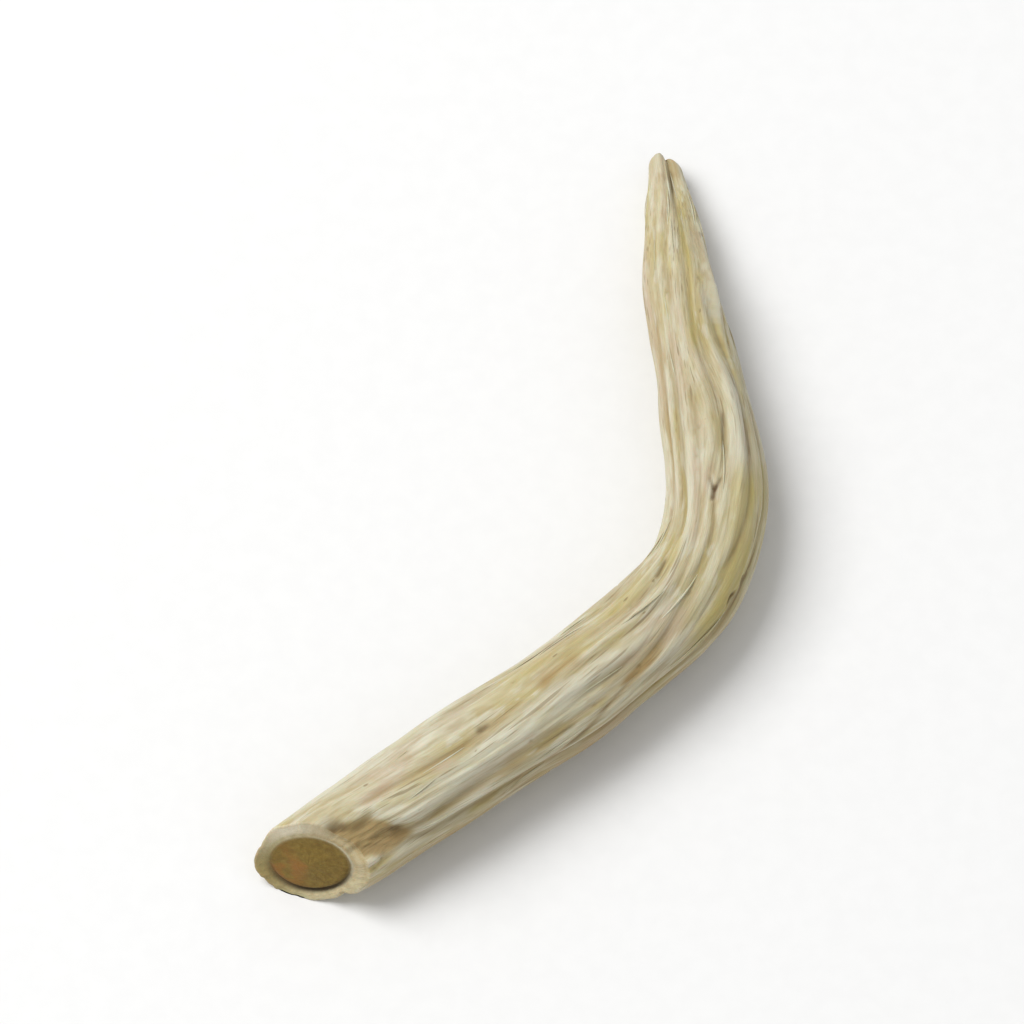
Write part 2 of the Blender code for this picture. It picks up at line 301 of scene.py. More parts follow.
MARKS = {
    Stain.TAN: (
        Mark(((13.6, 1), (15.3, 4), (17.2, 8)), 0.52, 1.0, 0.80),
        Mark(((17.4, -49), (19.0, -45), (20.8, -38)), 0.34, 0.8, 0.75),
        Mark(((2.5, 3), (7, -3), (11, -4), (14, 1)), 0.30, 2.0, 0.50),
        Mark(((8.5, -80), (14, -73), (17, -58), (20.5, -41)), 0.20, 1.5, 0.60),
        Mark(((3, -56), (9, -54), (15, -50), (19, -43)), 0.20, 2.0, 0.50),
        # painted shade: a broad tan band darkening the lower outer side along the lower limb
        Mark(((1, -100), (14, -104), (24, -106)), 1.00, 3.0, 0.65),
        Mark(((29, 56), (34, 62), (39, 59)), 0.22, 2.0, 0.65),
        Mark(((36.6, 50), (38.2, 54), (40.0, 56)), 0.22, 0.8, 0.70),
        Mark(((40.0, 24), (42.8, 16)), 0.20, 0.8, 0.45),
        Mark(((48.4, 0), (50.6, -10)), 0.60, 0.8, 0.55),
        Mark(((29, 12), (37, 8), (47, 0)), 1.60, 3.0, 0.16),
    ),
    Stain.OLIVE: (
        Mark(((20.5, -66), (24, -62), (28, -46), (31.5, -42)), 1.20, 2.4, 0.95),
        Mark(((12, 28), (18, 26), (24, 34)), 0.60, 2.5, 0.60),
        Mark(((36.5, 5), (39.5, -4), (42.3, -15), (47, -21)), 0.26, 1.5, 0.95),
        Mark(((4.6, -10), (6.0, -12), (7.6, -13)), 0.38, 0.9, 0.65),
        Mark(((25.5, 25), (27.8, 30), (31.0, 44)), 0.13, 0.8, 0.80),
        Mark(((45, 34), (49.5, 28)), 0.45, 1.5, 0.40),
        Mark(((0.2, 122), (1.2, 122)), 1.20, 0.8, 0.50),
    ),
    Stain.BROWN: (
        Mark(((9.9, -1.5), (10.9, -1.5)), 0.14, 0.3, 0.80),
        Mark(((1.1, 5), (1.7, -1), (2.3, -7)), 0.26, 0.4, 0.50),
        Mark(((3.7, -41), (4.2, -45), (4.6, -49)), 0.28, 0.35, 0.45),
        Mark(((2.2, -60), (3.4, -58), (4.4, -60)), 0.12, 0.5, 0.25),
        Mark(((12.8, -76), (15, -70), (17, -58)), 0.09, 0.8, 0.35),
        Mark(((22.5, 22), (24.4, 28)), 0.10, 0.5, 0.50),
        Mark(((23.4, -7), (25.9, -14)), 0.09, 0.6, 0.25),
        Mark(((25.4, -13), (27.2, -7), (28.7, -2)), 0.10, 0.6, 0.30),
        Mark(((28.3, -1), (29.5, -2.5)), 0.12, 0.3, 0.70),
        Mark(((28.9, -2), (29.9, 5)), 0.08, 0.3, 0.55),
        Mark(((28.9, -2), (29.9, -9)), 0.08, 0.3, 0.55),
        Mark(((30.9, -12), (33.7, -16)), 0.11, 0.6, 0.45),
        Mark(((24.0, -67), (24.9, -68)), 0.24, 0.3, 0.70),
        Mark(((25.1, -71), (26.0, -73)), 0.16, 0.3, 0.55),
        Mark(((47.8, -12), (49.8, -17)), 0.16, 0.6, 0.80),
    ),
    Stain.BLUSH: (
        Mark(((3.0, 3), (4.0, 1.5), (5.4, 0)), 0.34, 0.7, 0.75),
        Mark(((6.5, -13), (8.5, -12)), 0.26, 0.7, 0.60),
        Mark(((20.2, -22), (22.6, -12)), 0.40, 1.0, 0.55),
        Mark(((25.0, 4), (28, 13), (31.5, 18)), 0.30, 1.5, 0.55),
        Mark(((33, 72), (40, 68), (46, 62)), 0.42, 2.0, 0.45),
        Mark(((35, 0), (39, 14), (41, 18)), 0.24, 1.2, 0.40),
    ),
    # pale streaks and ridges, partly the flesh's own chalky tone and partly painted highlight; the broad
    # band along the upper inner edge, near 60 degrees round, is mostly painted highlight
    Stain.PALE_AND_HIGHLIGHT: (
        Mark(((2.0, 2), (3.0, -12), (4.6, -24), (5.4, -34)), 0.20, 0.6, 0.90),
        Mark(((2.6, -78), (5, -70), (8, -58), (11, -44)), 0.50, 1.2, 0.75),
        Mark(((2.5, -26), (10, -27), (15, -20), (18.5, -15)), 0.75, 2.0, 0.80),
        Mark(((15.4, -19), (18.8, -16)), 0.44, 0.8, 0.95),
        Mark(((17.8, -62), (21.5, -54)), 0.34, 0.9, 0.60),
        Mark(((28.4, -24), (32, -27), (36, -24)), 0.50, 1.5, 0.75),
        Mark(((0, 62), (10, 60), (20, 66)), 1.00, 3.0, 0.85),
        Mark(((20, 58), (26, 70), (32, 76)), 0.60, 2.0, 0.60),
        Mark(((24, 6), (28, 20), (31, 26)), 0.20, 1.2, 0.60),
        Mark(((34, 16), (39, 14), (44, 0)), 0.32, 2.0, 0.45),
        Mark(((38, -56), (42, -52), (46, -56), (50, -46)), 0.24, 1.5, 0.80),
        Mark(((46, 34), (51, 30)), 0.30, 1.0, 0.70),
    ),
}


@dataclass
class RootSkin:
    """The skin as a function of distance along the root and angle round it.

    Fields:
        stations: rows of x and y from a point by the cut end, height of the middle, half width and
            half height, in mm, from the cut end to the tip.
        shift: what brings the middle of the root's box in plan to the origin, in mm.
        rib_strength, stain_strength: mean, and how far the strength swings from it.
        swells: height, length of one wave, turns round the root and phase.
        broad_at_rim, fine_at_rim: shares of the relief that are left at the cut.
        grain_reach, grain_rest: how far round a furrow turns the grain, and the pull of no furrow.
        fine_start, fine_reach, fine_half_width, fine_furrow, fine_ridge: ranges of the small folds, in mm.
        fine_drift: range of their drift, in degrees.
        pit_span, pit_radius, pit_depth: ranges of the pinholes, in mm.
        hollow_stain_edge: where on the hollow's bell its stain starts, and how far it takes to be full.
    """

    stations: Array = field(default_factory=lambda: np.array((
        (0.5, -0.15, 2.14, 2.40, 2.36),
        (5.2, 3.02, 2.59, 2.79, 2.62),
        (10.22, 6.77, 2.68, 2.82, 2.56),
        (14.93, 10.41, 2.78, 2.77, 2.56),
        (18.6, 14.12, 2.58, 2.80, 2.60),
        (20.3, 18.4, 2.36, 2.76, 2.56),
        (20.45, 23.3, 2.52, 2.60, 2.46),
        (19.7, 28.3, 2.44, 2.18, 2.20),
        (18.8, 33.4, 1.78, 1.78, 1.78),
        (18.45, 38.2, 1.05, 1.16, 1.18),
        (18.1, 41.05, 0.76, 0.74, 0.76),
    )))
    shift: Triple = (-10.497, -19.832, 0.0)
    rib_count: int = 13
    rib_height: float = 0.055 * MM
    rib_strength: Pair = (0.65, 0.35)
    rib_wander: float = 1.6
    rib_wave: float = 23.0 * MM
    swells: tuple[tuple[float, float, int, float], ...] = (
        (0.11 * MM, 13.0 * MM, 1, 0.6),
        (0.09 * MM, 21.0 * MM, 2, 2.1),
        (0.08 * MM, 7.5 * MM, 3, 4.0),
    )
    hollow_at: float = 1.95 * MM
    hollow_angle: float = np.radians(-30)
    hollow_turn: float = np.radians(-9) / MM
    hollow_length: float = 2.55 * MM
    hollow_width: float = 1.30 * MM
    hollow_depth: float = 0.68 * MM
    hollow_steep: float = 2.5
    hollow_ragged: float = 0.30
    hollow_rough: float = 0.09 * MM
    hollow_edge: Streaks = Streaks(48, 30, 42)
    hollow_floor: Streaks = Streaks(90, 64, 41)
    rim_reach: float = 3.5 * MM
    broad_at_rim: float = 0.60
    fine_at_rim: float = 0.35
    grain_reach: float = 0.45
    grain_rest: float = 0.05
    fine_count: int = 84
    fine_seed: int = 11
    fine_start: Pair = (-8, 36)
    fine_reach: Pair = (7, 24)
    fine_drift: Pair = (-7, 7)
    fine_furrow: Pair = (-0.10, -0.03)
    fine_ridge: Pair = (0.03, 0.07)
    fine_half_width: Pair = (0.10, 0.30)
    furrow_share: float = 0.70
    fibre_layers: tuple[tuple[float, Streaks], ...] = (
        (0.030 * MM, Streaks(11, 48, 31)),
        (0.022 * MM, Streaks(18, 82, 32)),
        (0.013 * MM, Streaks(40, 116, 33)),
    )
    pit_count: int = 36
    pit_seed: int = 17
    pit_span: Pair = (2, 49)
    pit_radius: Pair = (0.07, 0.14)
    pit_depth: Pair = (0.04, 0.11)
    stain_cells: tuple[int, int] = (34, 84)
    stain_seed: int = 60
    stain_strength: Pair = (0.85, 0.55)
    hollow_stain_edge: Pair = (0.25, 0.45)
    hollow_stains: dict[Stain, float] = field(
        default_factory=lambda: {Stain.TAN: 0.85, Stain.OLIVE: 0.55, Stain.BROWN: 0.12},
    )

    def __post_init__(self) -> None:
        """Works out the distances of the stations and draws the fine folds and the small pits."""
        steps = np.linalg.norm(np.diff(self.stations[:, :3], axis=0), axis=1)
        self.station_at = np.concatenate(((0.0,), np.cumsum(steps))) * MM
        self.length = self.station_at[-1]
        self.thickest = self.stations[:, 3].max() * MM
        self.fine_folds = self.draw_fine_folds()
        self.small_pits = self.draw_small_pits()

    def draw_fine_folds(self) -> list[Fold]:
        """Small furrows and ridges at random places, each along the grain with a slight drift."""
        draw = np.random.default_rng(self.fine_seed)
        folds = []
        for number in range(self.fine_count):
            angle = 360 * (number + draw.uniform(-0.4, 0.4)) / self.fine_count * 3 % 360
            start = draw.uniform(*self.fine_start)
            reach = draw.uniform(*self.fine_reach)
            drift = draw.uniform(*self.fine_drift, 3)
            path = tuple((start + reach * share, angle + turn) for share, turn in zip((0, 0.5, 1), drift))
            is_furrow = draw.uniform() < self.furrow_share
            height = draw.uniform(*(self.fine_furrow if is_furrow else self.fine_ridge))
            folds.append(Fold(path, draw.uniform(*self.fine_half_width), fade=3.0, height=height))
        return folds

    def draw_small_pits(self) -> list[Pit]:
        """Pinholes at random places all over the skin."""
        draw = np.random.default_rng(self.pit_seed)
        spans = (self.pit_span, (-180, 180), self.pit_radius, self.pit_depth)
        return [Pit(*(draw.uniform(*span) for span in spans)) for _ in range(self.pit_count)]

    def row(self, distance: Array) -> Array:
        """Middle, half width and half height at each distance."""
        return spline(self.station_at, self.stations * MM, distance)

    def radius(self, distance: Array) -> Array:
        """Mean of the half width and the half height."""
        return self.row(distance)[..., 3:].mean(axis=-1)

    def grain_angle(self, distance: Array, angle: Array) -> Array:
        """Angle less the drift of the main folds nearby, so that fibres run along with them.

        Each main fold's drift from its mean angle is weighted by a bell of the turn to the fold.
        """
        total = np.zeros(angle.shape)
        weight = np.full(angle.shape, self.grain_rest)
        for fold in MAIN_FOLDS[:FURROW_COUNT]:
            middle = fold.middle(np.clip(distance, fold.path[0][0] * MM, fold.path[-1][0] * MM))
            mean = np.radians(np.mean([turn for _, turn in fold.path]))
            bell = np.exp(-(turn_between(angle, middle) / self.grain_reach) ** 2)
            total += bell * (middle - mean)
            weight += bell
        return angle - total / weight

    def past_rim(self, distance: Array, least: float) -> Array:
        """Rises smoothly from the least share at the cut to 1 past the rim."""
        return least + (1 - least) * smooth_step(distance / self.rim_reach)

    def broad_relief(self, distance: Array, angle: Array, radius: Array) -> Array:
        """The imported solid's own relief, lower by the cut: main folds, ribs and slow swellings."""
        relief = sum(fold.relief(distance, angle, radius) for fold in MAIN_FOLDS)
        wander = self.rib_wander * np.sin(TURN * distance / self.rib_wave)
        mean, swing = self.rib_strength
        strength = mean + swing * np.sin(3 * angle + 2 * TURN * distance / self.rib_wave)
        relief += self.rib_height * strength * np.cos(self.rib_count * angle + wander)
        for height, wave, turns, phase in self.swells:
            relief += height * np.sin(TURN * distance / wave + phase) * np.cos(turns * angle + 2 * phase)
        return relief * self.past_rim(distance, self.broad_at_rim)

    def fine_relief(self, distance: Array, angle: Array, radius: Array) -> Array:
        """Small folds, cracks and layers of fibre streaks, all along the grain, fainter by the cut."""
        grain = self.grain_angle(distance, angle)
        share = distance / self.length
        relief = sum(fold.relief(distance, grain, radius) for fold in self.fine_folds)
        relief += sum(crack.relief(distance, angle, radius) for crack in CRACKS)
        for height, streaks in self.fibre_layers:
            relief += height * streaks.heights(share, grain)
        return relief * self.past_rim(distance, self.fine_at_rim)

    def hollow_bell(self, distance: Array, angle: Array, radius: Array) -> Array:
        """1 in the hollow at the cut: exp(-q^n) of the squared share q of the way out, with a ragged edge.

        The hollow's middle line turns round the root as it runs along.
        """
        gone = distance - self.hollow_at
        along = gone / self.hollow_length
        turn = turn_between(angle, self.hollow_angle + self.hollow_turn * gone)
        across = turn * radius / self.hollow_width
        ragged = self.hollow_edge.heights(distance / self.length, angle)
        share = np.maximum((along ** 2 + across ** 2) * (1 + self.hollow_ragged * ragged), 0)
        return np.exp(-share ** self.hollow_steep)

    def hole_relief(self, distance: Array, angle: Array, radius: Array) -> Array:
        """Depth of the hollow, which is rough inside, and of the pits."""
        bell = self.hollow_bell(distance, angle, radius)
        rough = self.hollow_floor.heights(distance / self.length, angle)
        relief = -bell * (self.hollow_depth + self.hollow_rough * rough)
        for pit in (*PITS, *self.small_pits):
            relief -= pit.depth * MM * pit.bell(distance, angle, radius)
        return relief

    def relief(self, distance: Array, angle: Array) -> Array:
        """Whole relief, with folds and fibres scaled down where the root is thin."""
        radius = self.radius(distance)
        folds = self.broad_relief(distance, angle, radius) + self.fine_relief(distance, angle, radius)
        return folds * radius / self.thickest + self.hole_relief(distance, angle, radius)

    def points(self, distance: Array, angle: Array, relief: Array) -> Array:
        """Points of the skin.

        The middle runs along the spline. Inner is level and square to it, and up is square to both. A
        point lies at middle + inner w sin(a) g + up h cos(a) g, where w and h are the half width and half
        height and g is 1 + relief / radius.

        Args:
            distance: distances along the root.
            angle: angles round it.
            relief: height of the skin over the plain ellipse.

        Returns:
            Places in the part's frame, with the lowest still to be flattened by the surface under them.
        """
        step = 0.05 * MM
        row = self.row(distance)
        ahead = self.row(distance + step)[..., :3] - row[..., :3]
        ahead /= np.linalg.norm(ahead, axis=-1, keepdims=True)
        inner = np.cross((0.0, 0.0, 1.0), ahead)
        inner /= np.linalg.norm(inner, axis=-1, keepdims=True)
        up = np.cross(ahead, inner)
        grow = 1 + relief / row[..., 3:].mean(axis=-1)
        across = inner * (row[..., 3] * np.sin(angle) * grow)[..., None]
        above = up * (row[..., 4] * np.cos(angle) * grow)[..., None]
        return row[..., :3] + across + above + np.array(self.shift) * MM

    def stain(self, kind: Stain, distance: Array, angle: Array) -> Array:
        """Cover of one kind of stain from 0 to 1: its marks, broken up by streaks, and the hollow's own."""
        radius = self.radius(distance)
        streaks = Streaks(*self.stain_cells, self.stain_seed + list(Stain).index(kind))
        grain = self.grain_angle(distance, angle)
        mean, swing = self.stain_strength
        cover = sum(mark.cover(distance, angle, radius) for mark in MARKS[kind])
        cover = cover * (mean + swing * streaks.heights(distance / self.length, grain))
        if kind in self.hollow_stains:
            start, reach = self.hollow_stain_edge
            inside = smooth_step((self.hollow_bell(distance, angle, radius) - start) / reach)
            cover = cover + self.hollow_stains[kind] * inside
        return np.clip(cover, 0, 1)


def closed_faces(rings: int, count: int) -> list[list[int]]:
    """Faces of rings joined in one run and closed by a point at each end.

    Points come ring by ring, then the point before the first ring, then the point past the last one.

    Args:
        rings: number of rings.
        count: points in each ring.

    Returns:
        Quads between the rings and triangles at both ends.
    """
    here = np.arange(count)
    there = (here + 1) % count
    first = (np.arange(rings - 1) * count)[:, None]
    quads = np.stack((first + here, first + there, first + count + there, first + count + here), axis=-1)
    last = (rings - 1) * count
    near = np.stack((there, here, np.full(count, rings * count)), axis=-1)
    far = np.stack((last + here, last + there, np.full(count, rings * count + 1)), axis=-1)
    return quads.reshape(-1, 4).tolist() + near.tolist() + far.tolist()


def new_piece(name: str, points: Array, faces: list[list[int]]) -> Piece:
    """Makes a smooth-shaded mesh object at the origin from points and faces."""
    mesh = bpy.data.meshes.new(name)
    mesh.from_pydata(points.tolist(), [], faces)
    mesh.shade_smooth()
    piece = bpy.data.objects.new(name, mesh)
    bpy.context.scene.collection.objects.link(piece)
    return piece


def put_values(piece: Piece, name: str, values: Array) -> None:
    """Puts one number, or one row of three, for each point into a named attribute of the piece."""
    kind, part = ("FLOAT", "value") if values.ndim == 1 else ("FLOAT_VECTOR", "vector")
    layer = piece.data.attributes.new(name, kind, "POINT")
    layer.data.foreach_set(part, values.astype(np.float32).ravel())


def new_material(name: str) -> "tuple[bpy.types.Material, ShaderBench, bpy.types.Node]":
    """Makes a material, and gives it with its bench and its surface shader."""
    material = bpy.data.materials.new(name)
    material.use_nodes = True
    return material, ShaderBench(material), material.node_tree.nodes["Principled BSDF"]


@dataclass
class ShaderBench:
    """Adds shader nodes to one material, each call one node joined to what comes before it."""

    material: bpy.types.Material

    def node(self, kind: str) -> bpy.types.Node:
        """Adds a bare node of the kind."""
        return self.material.node_tree.nodes.new(kind)

    def join(self, source: Socket, target: Socket) -> None:
        """Links an output to an input."""
        self.material.node_tree.links.new(source, target)

    def feed(self, target: Socket, value: "Socket | float | Colour") -> None:
        """Links an output to an input, or sets the input's own number or colour."""
        if isinstance(value, Socket):
            self.join(value, target)
        elif isinstance(value, tuple):
            target.default_value = (*value, 1.0)
        else:
            target.default_value = value

    def number(self, name: str, output: str = "Fac") -> Socket:
        """Reads a number attribute of the piece, or a vector one if the output is so named."""
        node = self.node("ShaderNodeAttribute")
        node.attribute_name = name
        return node.outputs[output]

    def noise(self, at: Socket, along: float, across: float, detail: float = 2.0) -> Socket:
        """Noise from 0 to 1, with one scale along the first axis and another across it."""
        stretch = self.node("ShaderNodeMapping")
        stretch.inputs["Scale"].default_value = (along, across, across)
        self.join(at, stretch.inputs["Vector"])
        node = self.node("ShaderNodeTexNoise")
        node.inputs["Scale"].default_value = 1.0
        node.inputs["Detail"].default_value = detail
        self.join(stretch.outputs["Vector"], node.inputs["Vector"])
        return node.outputs["Fac"]

    def ramp(self, value: Socket, low: float, high: float, to: float = 1.0) -> Socket:
        """Stretches the range low to high smoothly onto 0 to the number given."""
        node = self.node("ShaderNodeMapRange")
        node.interpolation_type = "SMOOTHSTEP"
        self.join(value, node.inputs["Value"])
        node.inputs["From Min"].default_value = low
        node.inputs["From Max"].default_value = high
        node.inputs["To Max"].default_value = to
        return node.outputs["Result"]

    def times(self, first: Socket, second: "Socket | float") -> Socket:
        """Multiplies two numbers, kept between 0 and 1."""
        node = self.node("ShaderNodeMath")
        node.operation = "MULTIPLY"
        node.use_clamp = True
        self.feed(node.inputs[0], first)
        self.feed(node.inputs[1], second)
        return node.outputs["Value"]

    def blend(
        self,
        share: "Socket | float",
        under: "Socket | Colour",
        over: "Socket | Colour",
        way: str = "MIX",
    ) -> Socket:
        """Lays one colour over another by the share given."""
        node = self.node("ShaderNodeMix")
        node.data_type = "RGBA"
        node.blend_type = way
        self.feed(node.inputs[0], share)
        self.feed(node.inputs[6], under)
        self.feed(node.inputs[7], over)
        return node.outputs[2]


@dataclass(frozen=True)
class PeeledFlesh:
    """The dried, peeled flesh: pale ridges, partly painted highlight, tan furrows, partly painted shade, a
    woody cut face.
    """

    cream: Colour = (0.490, 0.425, 0.245)
    ivory: Colour = (0.560, 0.522, 0.360)
    # pale colour: the flesh's own chalky streaks, and also the painted highlight laid on ridges and along
    # the upper edge
    chalk: Colour = (0.610, 0.592, 0.462)
    beige: Colour = (0.385, 0.305, 0.160)
    tan: Colour = (0.365, 0.255, 0.105)
    olive: Colour = (0.460, 0.385, 0.145)
    brown: Colour = (0.105, 0.062, 0.026)
    blush: Colour = (0.500, 0.395, 0.290)
    # tan-brown for fine lines, and for the tan in the furrows, which is partly painted shade
    furrow: Colour = (0.290, 0.205, 0.088)
    crack: Colour = (0.200, 0.135, 0.060)
    cortex: Colour = (0.520, 0.450, 0.265)
    # painted light: a pale cream laid on the upper left of the cut's outer ring to make up for the shade
    # that the face lies in
    painted_light_tone: Colour = (0.740, 0.675, 0.500)
    # darker olive for the left side of the cut's outer ring: partly the cortex's olive tone, partly painted
    # shade
    olive_and_shade: Colour = (0.330, 0.265, 0.105)
    core: Colour = (0.172, 0.107, 0.014)
    core_light: Colour = (0.240, 0.160, 0.028)
    amber: Colour = (0.270, 0.125, 0.020)
    # near black for the groove below the core: a painted shadow
    groove: Colour = (0.060, 0.036, 0.016)
    roughness: float = 0.74
    roughness_swing: Pair = (-0.10, 0.14)
    specular: float = 0.35
    sheen: float = 0.10
    subsurface: float = 0.10
    subsurface_scale: float = 0.6 * MM
    # strength of the pale colour on ridge tops: partly their own paler tone, partly a painted highlight
    pale_ridge_and_highlights: float = 0.60
    pale_and_highlight_strength: float = 0.85
    # strength of the tan laid in the furrows: partly their own tone, partly painted shade
    hollows: float = 0.42
    bumps: tuple[Pair, ...] = ((0.80, 0.06 * MM), (0.30, 0.03 * MM))

    def colour(self, bench: ShaderBench, grain: Socket) -> Socket:
        """Colour of the skin and the cut face, laid from the lightest to the darkest."""
        broad = bench.noise(grain, 0.11, 0.80, 3.0)
        patch = bench.noise(grain, 0.26, 0.95, 2.0)
        mottle = bench.noise(grain, 0.50, 1.7, 3.0)
        streak = bench.noise(grain, 0.17, 2.7, 3.0)
        strand = bench.noise(grain, 0.42, 7.0, 3.0)
        hair = bench.noise(grain, 0.9, 15.0, 2.0)
        dash = bench.noise(grain, 0.38, 2.1, 1.0)
        speck = bench.noise(grain, 1.1, 3.0, 1.0)
        skin = self.cream
        for cover, over in (
            (bench.ramp(broad, 0.38, 0.62), self.ivory),
            (bench.ramp(patch, 0.50, 0.64, 0.72), self.olive),
            (bench.ramp(patch, 0.46, 0.34, 0.60), self.blush),
            (bench.ramp(mottle, 0.54, 0.66, 0.36), self.tan),
            (bench.ramp(mottle, 0.45, 0.34, 0.70), self.chalk),
            # pale colour on ridge tops, partly their own tone and partly a painted highlight
            (bench.times(bench.number("pale_ridge_and_highlight"), self.pale_ridge_and_highlights), self.chalk),
            # pale streaks, partly the flesh's own and partly painted highlight, most of all along the upper
            # edge
            (bench.times(bench.number(Stain.PALE_AND_HIGHLIGHT.value), self.pale_and_highlight_strength), self.chalk),
            (bench.ramp(streak, 0.53, 0.68, 0.50), self.beige),
            (bench.ramp(streak, 0.44, 0.30, 0.38), self.chalk),
            (bench.ramp(dash, 0.58, 0.70, 0.55), self.chalk),
            (bench.ramp(strand, 0.54, 0.70, 0.42), self.beige),
            (bench.number(Stain.BLUSH.value), self.blush),
            (bench.number(Stain.OLIVE.value), self.olive),
            # tan stains, among them a painted shade along the lower outer side
            (bench.number(Stain.TAN.value), self.tan),
            # tan-brown in the furrows by how far the skin lies below its neighbours: partly their own tone,
            # partly painted shade
            (bench.times(bench.number("recess_tone_and_shade"), self.hollows), self.furrow),
            (self.fine_lines(bench, grain), self.crack),
            (bench.number(Stain.BROWN.value), self.brown),
            (bench.ramp(speck, 0.755, 0.82, 0.65), self.crack),
            (bench.number("cut"), self.face_colour(bench, grain)),
        ):
            skin = bench.blend(cover, skin, over)
        return bench.blend(bench.ramp(hair, 0.30, 0.75, 0.16), skin, self.furrow, "MULTIPLY")

    def fine_lines(self, bench: ShaderBench, grain: Socket) -> Socket:
        """Thin broken lines along the grain: the highest parts of a noise stretched along it."""
        thread = bench.ramp(bench.noise(grain, 0.33, 9.5, 1.0), 0.60, 0.70)
        where = bench.ramp(bench.noise(grain, 0.20, 1.0, 1.0), 0.44, 0.60, 0.55)
        return bench.times(thread, where)

    def face_colour(self, bench: ShaderBench, grain: Socket) -> Socket:
        """Colour of the cut: cream cortex, painted light on its upper left, olive (partly painted shade) and
        tan at its sides, groove darkened as painted shadow, crescents, woody core.
        """
        pores = bench.noise(grain, 2.0, 3.4, 3.0)
        shade = bench.noise(grain, 0.5, 1.1, 2.0)
        wood = bench.blend(bench.ramp(pores, 0.28, 0.74), self.core, self.core_light)
        amber = bench.times(bench.number("olive_and_shade"), bench.ramp(shade, 0.40, 0.62))
        wood = bench.blend(amber, wood, self.amber)
        face = self.cortex
        for cover, over in (
            (bench.ramp(pores, 0.45, 0.75, 0.60), self.beige),
            # painted light on the upper left of the outer ring, where the cut face lies in shade
            (bench.number("painted_light"), self.painted_light_tone),
            # olive on the left side of the ring, partly its own tone and partly painted shade
            (bench.number("olive_and_shade"), self.olive_and_shade),
            (bench.times(bench.number("broken"), 0.75), self.tan),
            (bench.number("core"), wood),
            (bench.number("crescent"), self.ivory),
            # painted shadow: a near-black line in the groove below the core
            (bench.number("groove"), self.groove),
        ):
            face = bench.blend(cover, face, over)
        return face

    def material(self) -> bpy.types.Material:
        """Makes the material, with fine fibres in the bump and the roughness."""
        material, bench, shader = new_material("peeled_root")
        grain = bench.number("straight", "Vector")
        bench.join(self.colour(bench, grain), shader.inputs["Base Color"])
        fibres = bench.noise(grain, 0.5, 8.0, 4.0)
        grit = bench.noise(grain, 6.0, 14.0, 2.0)
        normal = None
        for height, (strength, distance) in zip((fibres, grit), self.bumps):
            bump = bench.node("ShaderNodeBump")
            bump.inputs["Strength"].default_value = strength
            bump.inputs["Distance"].default_value = distance
            bench.join(height, bump.inputs["Height"])
            if normal is not None:
                bench.join(normal, bump.inputs["Normal"])
            normal = bump.outputs["Normal"]
        bench.join(normal, shader.inputs["Normal"])
        rough = bench.node("ShaderNodeMapRange")
        for side, swing in zip(("To Min", "To Max"), self.roughness_swing):
            rough.inputs[side].default_value = self.roughness + swing
        bench.join(fibres, rough.inputs["Value"])
        bench.join(rough.outputs["Result"], shader.inputs["Roughness"])
        for name, value in (
            ("Metallic", 0.0),
            ("Specular IOR Level", self.specular),
            ("Sheen Weight", self.sheen),
            ("Subsurface Weight", self.subsurface),
            ("Subsurface Scale", self.subsurface_scale),
        ):
            shader.inputs[name].default_value = value
        return material


@dataclass(frozen=True)
class Side:
    """One side of a ring, where a cover from 0 to 1 is fullest.

    Fields:
        toward: angle of that side, in degrees.
        floor: cover at a right angle to it, below 0 if the cover ends before that.
    """

    toward: float
    floor: float

    def cover(self, angle: Array) -> Array:
        """Floor + (1 - floor) cos of the turn to the side, kept between 0 and 1."""
        return np.clip(self.floor + (1 - self.floor) * np.cos(angle - np.radians(self.toward)), 0, 1)


